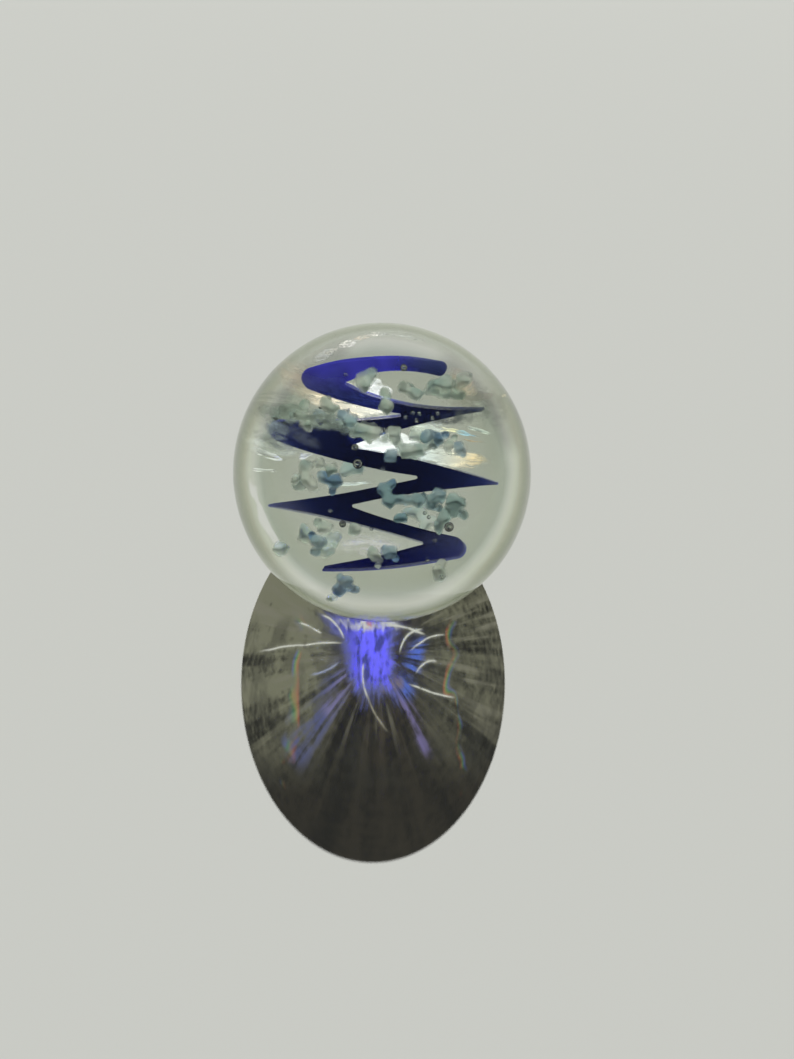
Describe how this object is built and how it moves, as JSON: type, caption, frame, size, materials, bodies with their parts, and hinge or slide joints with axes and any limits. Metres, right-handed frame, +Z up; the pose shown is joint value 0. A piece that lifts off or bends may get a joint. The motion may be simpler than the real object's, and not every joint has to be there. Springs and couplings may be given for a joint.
{
  "type": "glass marble",
  "caption": "Handmade clear glass marble with a folded cobalt ribbon, grains of melted frit and air bubbles sealed inside.",
  "frame": {"origin": "centre of the ball", "axes": "+Z up as the ball rests, -Y towards the viewer; the folded face of the ribbon looks towards -Y and up, 52 degrees above the horizon"},
  "size_m": [0.025, 0.025, 0.025],
  "materials": {
    "clear_glass": "fire-polished clear glass with a faint grey-green tint and a few seeds",
    "cobalt_glass": "deep transparent cobalt, near black where thick and ultramarine where thin",
    "sage_frit_glass": "cloudy grey-green crushed glass, edges melted soft",
    "slate_frit_glass": "cloudy blue-grey crushed glass, edges melted soft"
  },
  "bodies": {
    "root": {"clear_ball": "clear_glass", "cobalt_ribbon": "cobalt_glass", "sage_frit": "sage_frit_glass", "slate_frit": "slate_frit_glass"}
  },
  "joints": []
}
